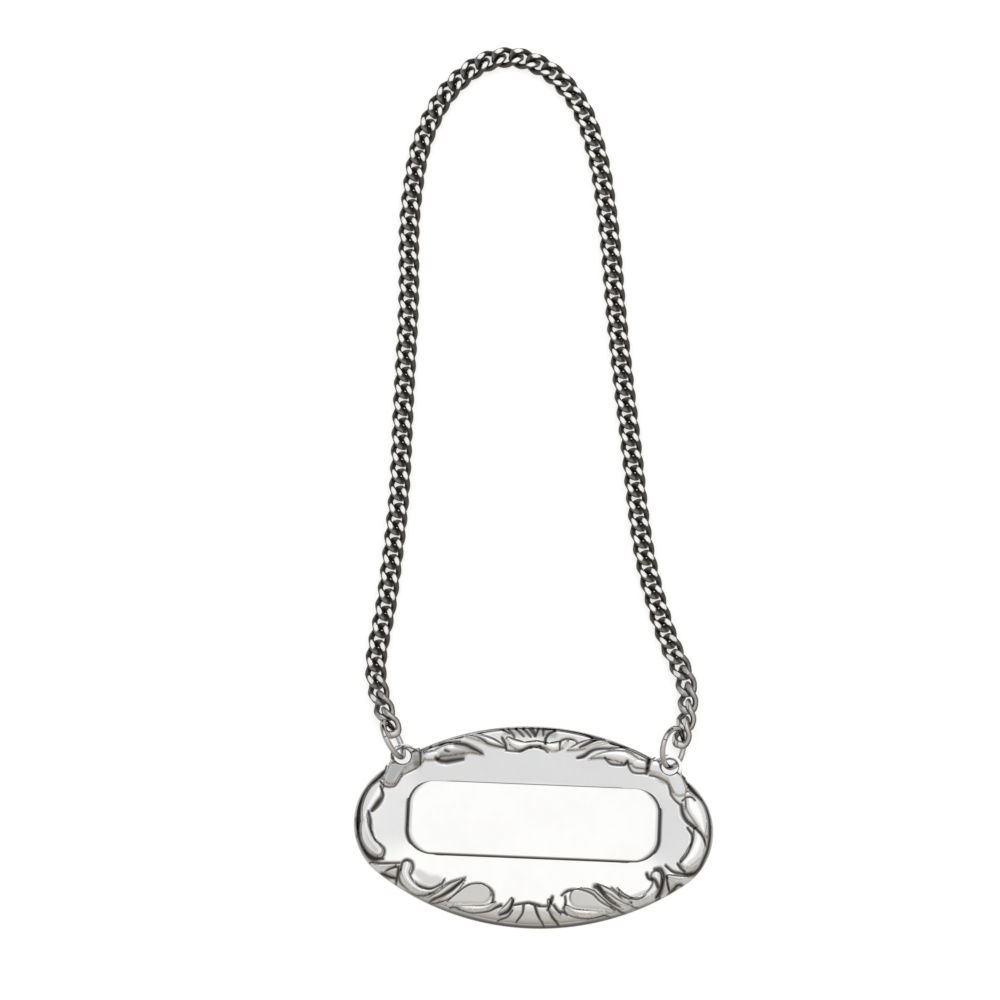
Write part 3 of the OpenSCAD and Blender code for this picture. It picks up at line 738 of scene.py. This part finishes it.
def link_quarter(half_l, steps):
    """A quarter of a link's middle line: two arcs, tangent where they meet, from an end to a side.

    The meeting point halves the line that joins the two end tangents at equal reach.
    """
    tip, flank = np.array([0, half_l, 0]), np.array([LINK_HALF_W, 0, 0])
    tip_way = np.array([math.cos(TIP_SLOPE), 0, math.sin(TIP_SLOPE)])
    flank_way = np.array([0, -math.cos(SIDE_SLOPE), -math.sin(SIDE_SLOPE)])
    gap = flank - tip
    a = 2 * (1 - tip_way @ flank_way)
    b = 2 * gap @ (tip_way + flank_way)
    reach = (math.sqrt(b * b + 4 * a * (gap @ gap)) - b) / (2 * a)
    handle_a, handle_b = tip + reach * tip_way, flank - reach * flank_way
    meeting = (handle_a + handle_b) / 2

    def arc(start, way, end):
        """Points of the circular arc that leaves start along way and comes to end, without its end."""
        step = end - start
        aside = step - (step @ way) * way
        inward = unit(aside)
        radius = step @ step / (2 * np.linalg.norm(aside))
        full = 2 * math.atan2(np.linalg.norm(aside), step @ way)
        t = (np.arange(steps) / steps * full)[:, None]
        return start + radius * (np.sin(t) * way + (1 - np.cos(t)) * inward)

    return np.vstack([arc(tip, tip_way, meeting), arc(meeting, unit(handle_b - handle_a), flank)]), meeting[2]


def curb_link(half_l):
    """A curb link in its own frame: its points, its faces, its painted shade and tarnish from 0 to 1 and its
    wire's directions.

    Its middle line is the quarter, turned by half turns about the link's three axes. At both ends the wire is
    fuller lengthwise, by TIP_FULL outside and TIP_SEAT inside, and ends square at TIP_REACH. File strokes
    across the chain leave bright flats on its crowns: there the height is cut FLAT_CUT under the crown's top.
    Flanks and end faces are rubbed brighter, which is wear and a painted highlight.
    """
    quarter, crown = link_quarter(half_l, LINK_ARC_STEPS)
    flank = np.array([[LINK_HALF_W, 0, 0]])
    half = np.vstack([quarter, flank, quarter[1:][::-1] * [1, -1, -1]])
    line = np.vstack([half, half * [-1, -1, 1]])
    end_part = smooth((np.abs(line[:, 1]) / half_l - TIP_FROM) / (1 - TIP_FROM))
    points, faces = wire(line, np.zeros(3), LINK_WIRE / 2, LINK_SIDES, True)
    ways = (points - np.repeat(line, LINK_SIDES, 0)) / (LINK_WIRE / 2)
    outward = np.tile(np.cos(np.linspace(0, 2 * np.pi, LINK_SIDES, endpoint=False)), len(line))
    fuller = TIP_FULL * np.clip(outward, 0, None) + TIP_SEAT * np.clip(outward, None, 0)
    points[:, 1] += np.repeat(end_part * np.sign(line[:, 1]), LINK_SIDES) * fuller
    level = crown + LINK_WIRE / 2 - FLAT_CUT
    points[:, 1] = np.clip(points[:, 1], -half_l - TIP_REACH, half_l + TIP_REACH)
    filed = np.abs(points[:, 2]) > level
    points[:, 2] = np.clip(points[:, 2], -level, level)
    # Flanks and end faces made lighter: wear and painted highlight
    rubbed_and_sheen = np.maximum(FLANK_RUB_AND_SHEEN * smooth(np.abs(points[:, 0]) / LINK_HALF_W - FLANK_FROM),
                        TIP_RUB_AND_SHEEN * smooth((np.abs(points[:, 1]) - half_l) / (LINK_WIRE / 2)))
    # Link bodies painted dark, shade and tarnish together; the filed flats stay clean
    return points, faces, np.where(filed, 0.0, 1 - rubbed_and_sheen), ways


# Route of the chain on the table, as in the part's source:
# [share of half the ear spacing, share of the loop's height above the ear holes]
ROUTE = np.array([
    [-1.23, 0.106], [-1.18, 0.216], [-1.13, 0.355], [-1.13, 0.498], [-1.13, 0.639], [-1.15, 0.781],
    [-1.07, 0.883], [-0.86, 0.957], [-0.6, 0.994], [-0.42, 1], [-0.16, 0.985], [0.08, 0.943],
    [0.26, 0.866], [0.37, 0.766], [0.47, 0.623], [0.61, 0.454], [0.78, 0.273], [0.95, 0.178],
    [1.11, 0.111]])
ROUTE_STEPS = 12


def chain_links():
    """Each link's frame (sideways, along, upwards, middle) on the route, its tilt, and half a link's length.

    The route is a smooth curve of cubic spans whose slopes are the spans' mean, weighted to the shorter span.
    Links share its length evenly, and roll with their jump rings at both ends.
    """
    _, crown = link_quarter(link_half_l(LINK_PITCH), 2)
    rolls = LEFT_LEAN + HOOK_ROLL, RIGHT_LEAN + HOOK_ROLL

    def rest_z(roll):
        """Height of a link's middle when it lies on the table with a roll in degrees."""
        roll = np.radians(roll)
        return TABLE_Z + LINK_WIRE / 2 + crown * np.cos(roll) + LINK_HALF_W * np.abs(np.sin(roll))

    left_way, right_way = heading(LEFT_TURN)[:2], heading(RIGHT_TURN)[:2]
    left = ring_hook(-1, LEFT_TURN, LEFT_LEAN, rest_z(rolls[0]))[:2] - HOOK_REACH * left_way
    right = ring_hook(1, RIGHT_TURN, RIGHT_LEAN, rest_z(rolls[1]))[:2] - HOOK_REACH * right_way
    route = np.vstack([left, ROUTE * [EAR_X, LOOP_H] + [0, EAR_Y], right])
    step = np.diff(route, axis=0)
    span = np.linalg.norm(step, axis=1)
    way = step / span[:, None]
    inner = (way[:-1] * span[1:, None] + way[1:] * span[:-1, None]) / (span[:-1] + span[1:])[:, None]
    slope = np.vstack([left_way, inner, -right_way])
    i = np.repeat(np.arange(len(span)), ROUTE_STEPS)
    t = np.tile(np.arange(ROUTE_STEPS) / ROUTE_STEPS, len(span))[:, None]
    u = 1 - t
    curve = (u * u * (1 + 2 * t) * route[i] + t * t * (3 - 2 * t) * route[i + 1]
             + span[i][:, None] * t * u * (u * slope[i] - t * slope[i + 1]))
    curve = np.vstack([curve, route[-1]])
    length = np.concatenate([[0], np.cumsum(np.linalg.norm(np.diff(curve, axis=0), axis=1))])
    links = 2 * round(length[-1] / LINK_PITCH / 2)
    pitch = length[-1] / links

    def roll_at(n):
        """Roll of the chain in degrees at link number n, counted from 1 at the left ring."""
        return (rolls[0] * smooth(1 - (n - 0.5) / LEFT_ROLL_LINKS)
                - rolls[1] * smooth(1 - (links - n + 0.5) / RIGHT_ROLL_LINKS))

    ends = np.arange(links + 1.0)
    at = np.column_stack([np.interp(ends * pitch, length, curve[:, 0]),
                          np.interp(ends * pitch, length, curve[:, 1]), rest_z(roll_at(ends + 0.5))])
    along = unit(np.diff(at, axis=0))
    side = unit(np.cross(along, [0, 0, 1.0]))
    rise = np.cross(side, along)
    roll = np.radians(roll_at(np.arange(1.0, links + 1)))[:, None]
    across = np.cos(roll) * side + np.sin(roll) * rise
    upward = np.cos(roll) * rise - np.sin(roll) * side
    middle = (at[1:] + at[:-1]) / 2
    return np.stack([across, along, upward], 1), middle, np.abs(np.sin(roll)), link_half_l(pitch)


def link_shade_and_sheen(wire_shade_and_tarnish, ways, axes, tilt):
    """Painted shade and tarnish of a link in its place, with a painted highlight where a tilted link's wire
    faces up.
    """
    # Painted highlight where the wire faces up
    facing_up = ways @ axes[:, 2]
    return wire_shade_and_tarnish * np.clip(1 - TOP_SHEEN * tilt * smooth(2 * facing_up - 1), 0, 1)


def node(tree, kind, **values):
    """Adds a shader node and sets its properties and its inputs by name."""
    made = tree.nodes.new(kind)
    for key, value in values.items():
        if hasattr(made, key):
            setattr(made, key, value)
        else:
            made.inputs[key.replace("_", " ")].default_value = value
    return made


def ramp(tree, fac, stops):
    """A colour ramp over a value, from (place, colour) stops."""
    made = tree.nodes.new("ShaderNodeValToRGB")
    elements = made.color_ramp.elements
    while len(elements) < len(stops):
        elements.new(0.5)
    for element, (place, colour) in zip(elements, stops):
        element.position = place
        element.color = (*colour, 1)
    tree.links.new(fac, made.inputs["Fac"])
    return made.outputs["Color"]


def blend(tree, share, first, second):
    """Colour between that of a first socket and a second one, a socket's or plain, by a share from 0 to 1."""
    made = node(tree, "ShaderNodeMix", data_type="RGBA")
    sockets = {socket.identifier: socket for socket in made.inputs}
    tree.links.new(share, sockets["Factor_Float"])
    tree.links.new(first, sockets["A_Color"])
    if isinstance(second, tuple):
        sockets["B_Color"].default_value = (*second, 1)
    else:
        tree.links.new(second, sockets["B_Color"])
    return next(socket for socket in made.outputs if socket.identifier == "Result_Color")


def maths(tree, operation, *values):
    """Result of a maths node on sockets and plain numbers."""
    made = node(tree, "ShaderNodeMath", operation=operation)
    for socket, value in zip(made.inputs, values):
        if isinstance(value, float):
            socket.default_value = value
        else:
            tree.links.new(value, socket)
    return made.outputs[0]


def share_between(tree, value, start, end):
    """Share that goes from 0 where a value is at its start to 1 where it is at its end."""
    made = node(tree, "ShaderNodeMapRange", From_Min=start, From_Max=end)
    tree.links.new(value, made.inputs["Value"])
    return made.outputs["Result"]


def silver(name, bright, worn, dark, rough_low, rough_high, scratch_scale, dull=0.0):
    """Polished silver: cloudy shifts of tone, fine stretched hairlines in its gloss, and painted shade with
    tarnish.

    Where that painted shade and tarnish lie, the silver loses a share dull of its metal gloss, as tarnish
    does.
    """
    material = bpy.data.materials.new(name)
    material.use_nodes = True
    tree = material.node_tree
    tree.nodes.clear()
    link = tree.links.new
    place = node(tree, "ShaderNodeTexCoord")
    cloud = node(tree, "ShaderNodeTexNoise", Scale=140.0, Detail=3.0, Roughness=0.6)
    link(place.outputs["Object"], cloud.inputs["Vector"])
    tone = ramp(tree, cloud.outputs["Fac"], [(0.3, worn), (0.62, bright)])
    # Painted shade and tarnish, from the points' attribute
    depth = node(tree, "ShaderNodeAttribute", attribute_name="shade_and_tarnish")
    shade = blend(tree, depth.outputs["Fac"], tone, dark)
    stretch = node(tree, "ShaderNodeMapping", Scale=(1.0, 7.0, 3.0), Rotation=(0.0, 0.0, 0.5))
    link(place.outputs["Object"], stretch.inputs["Vector"])
    hair = node(tree, "ShaderNodeTexNoise", Scale=scratch_scale, Detail=4.0, Roughness=0.7)
    link(stretch.outputs["Vector"], hair.inputs["Vector"])
    gloss = node(tree, "ShaderNodeMapRange", From_Min=0.3, From_Max=0.75)
    gloss.inputs["To Min"].default_value = rough_low
    gloss.inputs["To Max"].default_value = rough_high
    link(hair.outputs["Fac"], gloss.inputs["Value"])
    bump = node(tree, "ShaderNodeBump", Strength=0.012, Distance=0.00005)
    link(hair.outputs["Fac"], bump.inputs["Height"])
    metal = node(tree, "ShaderNodeBsdfPrincipled", Metallic=1.0)
    link(shade, metal.inputs["Base Color"])
    link(gloss.outputs["Result"], metal.inputs["Roughness"])
    if dull:
        clean = node(tree, "ShaderNodeMapRange", To_Min=1.0, To_Max=1.0 - dull)
        link(depth.outputs["Fac"], clean.inputs["Value"])
        link(clean.outputs["Result"], metal.inputs["Metallic"])
    link(bump.outputs["Normal"], metal.inputs["Normal"])
    out = node(tree, "ShaderNodeOutputMaterial")
    link(metal.outputs["BSDF"], out.inputs["Surface"])
    return material


plate_silver = silver(
    "plate_silver", bright=(0.97, 0.965, 0.955), worn=(0.93, 0.925, 0.915), dark=(0.06, 0.055, 0.05),
    rough_low=0.05, rough_high=0.1, scratch_scale=900.0)
ring_silver = silver(
    "ring_silver", bright=(0.93, 0.92, 0.9), worn=(0.85, 0.84, 0.82), dark=(0.2, 0.18, 0.16),
    rough_low=0.07, rough_high=0.14, scratch_scale=1500.0)
# Its dark colour is the painted shade and tarnish of the link bodies
chain_silver = silver(
    "chain_silver", bright=(0.99, 0.985, 0.98), worn=(0.95, 0.945, 0.935), dark=(0.07, 0.06, 0.05),
    rough_low=0.12, rough_high=0.24, scratch_scale=1500.0, dull=0.5)


def dress(piece, body, cad_node, material):
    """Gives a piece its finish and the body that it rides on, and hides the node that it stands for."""
    piece.data.materials.append(material)
    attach(piece, body)
    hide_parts(cad_node)


points, faces, shade_and_tarnish = label_mesh()
plate = add_piece("label_plate_face", points, faces, PLATE_SHARP, shade_and_tarnish)
dress(plate, "label", "label_plate", plate_silver)

for side, turn, lean, name in ((-1, LEFT_TURN, LEFT_LEAN, "left"), (1, RIGHT_TURN, RIGHT_LEAN, "right")):
    points, faces, shade_and_tarnish = jump_ring(side, turn, lean)
    ring = add_piece(name + "_ring_wire", points, faces, RING_SHARP, shade_and_tarnish)
    dress(ring, "rings", name + "_jump_ring", ring_silver)

# A piece is two links, one of each strand, equally far along the chain from their jump rings.
axes, middles, tilts, half_l = chain_links()
link_points, link_faces, wire_shade_and_tarnish, wire_ways = curb_link(half_l)
link_count = len(middles)
for k in range(link_count // 2):
    pair = [k, link_count - 1 - k]
    points = np.vstack([link_points @ axes[n] + middles[n] for n in pair])
    faces = [link_faces, link_faces + len(link_points)]
    # Painted shade and tarnish of the two links, with painted highlights
    shade_and_tarnish = np.concatenate([link_shade_and_sheen(wire_shade_and_tarnish, wire_ways, axes[n], tilts[n]) for n in pair])
    number = "%02d" % (k + 1)
    links = add_piece("chain_links_" + number, points, faces, LINK_SHARP, shade_and_tarnish)
    dress(links, "pair_" + number, "link_pair_" + number, chain_silver)

# Table: pale and plain. The camera sees it nearly white, and it keeps the soft shadow.
TABLE_HALF = 1.5
TABLE_MIDDLE_Y = 0.05
TABLE_COLOUR = (0.72, 0.72, 0.72, 1)
GLOW_SEEN = 0.7
GLOW_IN_METAL = 0.2
corner = np.array([[-1, -1], [1, -1], [1, 1], [-1, 1]]) * TABLE_HALF
table_mesh = bpy.data.meshes.new("table")
table_mesh.from_pydata([(x, y + TABLE_MIDDLE_Y, TABLE_Z * MM) for x, y in corner], [], [(0, 1, 2, 3)])
table = bpy.data.objects.new("table", table_mesh)
scene.collection.objects.link(table)
paper = bpy.data.materials.new("table_paper")
paper.use_nodes = True
tree = paper.node_tree
tree.nodes.clear()
seen = node(tree, "ShaderNodeLightPath")
in_metal = maths(tree, "MULTIPLY", seen.outputs["Is Glossy Ray"], GLOW_IN_METAL)
strength = maths(tree, "MULTIPLY_ADD", seen.outputs["Is Camera Ray"], GLOW_SEEN, in_metal)
glow = node(tree, "ShaderNodeEmission", Color=(1, 1, 1, 1))
tree.links.new(strength, glow.inputs["Strength"])
matte = node(tree, "ShaderNodeBsdfDiffuse", Color=TABLE_COLOUR)
both = node(tree, "ShaderNodeAddShader")
tree.links.new(glow.outputs[0], both.inputs[0])
tree.links.new(matte.outputs[0], both.inputs[1])
out = node(tree, "ShaderNodeOutputMaterial")
tree.links.new(both.outputs[0], out.inputs["Surface"])
table_mesh.materials.append(paper)

# Studio: a white ceiling over a dark horizon, with a lighter box over the plate, low grey walls at the sides
# and a warm grey side behind the camera. Ramps go by the height of a direction.
HORIZON = (0.015, 0.014, 0.013)
ABOVE_HORIZON = (0.02, 0.018, 0.017)
SIDE_WALL = (0.3, 0.295, 0.29)
LIGHT_BOX = (1.03, 1.03, 1.03)
CEILING = [(0.55, (0.2, 0.195, 0.19)), (0.75, (0.74, 0.745, 0.75)), (1.0, (0.74, 0.745, 0.755))]
WARM_SIDE = [(0.0, (0.2, 0.185, 0.17)), (0.12, (0.4, 0.38, 0.35)), (0.4, (0.5, 0.475, 0.44)),
             (0.95, (0.57, 0.55, 0.52))]
world = bpy.data.worlds.new("studio")
scene.world = world
world.use_nodes = True
tree = world.node_tree
tree.nodes.clear()
way = node(tree, "ShaderNodeTexCoord")
parts = node(tree, "ShaderNodeSeparateXYZ")
tree.links.new(way.outputs["Generated"], parts.inputs[0])
far, height = parts.outputs["Y"], parts.outputs["Z"]
sideways = maths(tree, "ABSOLUTE", parts.outputs["X"])
box_across = share_between(tree, sideways, 0.07, 0.045)
box_far = share_between(tree, far, 0.18, 0.235)
box_high = share_between(tree, height, 0.6, 0.75)
in_box = maths(tree, "MULTIPLY", maths(tree, "MULTIPLY", box_across, box_far), box_high)
sky = ramp(tree, height, [(0.0, HORIZON), (0.35, ABOVE_HORIZON)] + CEILING)
sky = blend(tree, in_box, sky, LIGHT_BOX)
walls = ramp(tree, height, [(0.1, HORIZON), (0.18, SIDE_WALL), (0.4, SIDE_WALL)] + CEILING)
sky = blend(tree, share_between(tree, sideways, 0.35, 0.55), sky, walls)
sky = blend(tree, share_between(tree, far, 0.06, -0.2), sky, ramp(tree, height, WARM_SIDE))
seen = node(tree, "ShaderNodeLightPath")
sky = blend(tree, seen.outputs["Is Camera Ray"], sky, (1, 1, 1))
air = node(tree, "ShaderNodeBackground", Strength=1.0)
tree.links.new(sky, air.inputs["Color"])
out = node(tree, "ShaderNodeOutputWorld")
tree.links.new(air.outputs[0], out.inputs["Surface"])

# Camera: a long lens, 75 degrees above the table, turned a little to the plate.
# The label is LABEL_PIXELS long in the picture, with its middle at LABEL_PIXEL.
CAMERA_TURN = math.radians(2.4)
CAMERA_RISE = math.radians(75)
CAMERA_FAR = 900.0
LABEL_PIXELS = 359
PIXELS_PER_MM = LABEL_PIXELS / LABEL_W
LABEL_PIXEL = np.array([533.5, 828.0])
IMAGE = 1000
SENSOR = 36.0
CLIP_END = 10.0
right = np.array([math.cos(CAMERA_TURN), math.sin(CAMERA_TURN), 0])
flat = np.array([-math.sin(CAMERA_TURN), math.cos(CAMERA_TURN), 0])
gaze = math.cos(CAMERA_RISE) * flat - math.sin(CAMERA_RISE) * np.array([0, 0, 1])
upward = np.cross(right, gaze)
eye = np.array([0, 0, TABLE_Z]) - CAMERA_FAR * gaze
offset = (IMAGE / 2 - LABEL_PIXEL) / (PIXELS_PER_MM * CAMERA_FAR)
gaze = unit(gaze + offset[0] * right - offset[1] * upward)
right = unit(right - (right @ gaze) * gaze)
upward = np.cross(right, gaze)
lens = bpy.data.cameras.new("camera")
lens.sensor_width = SENSOR
lens.lens = PIXELS_PER_MM * SENSOR * CAMERA_FAR / IMAGE
lens.clip_end = CLIP_END
camera = bpy.data.objects.new("camera", lens)
turned = np.eye(4)
turned[:3] = np.column_stack([right, upward, -gaze, eye * MM])
camera.matrix_world = Matrix(turned.tolist())
scene.collection.objects.link(camera)
scene.camera = camera

scene.view_settings.view_transform = "Standard"
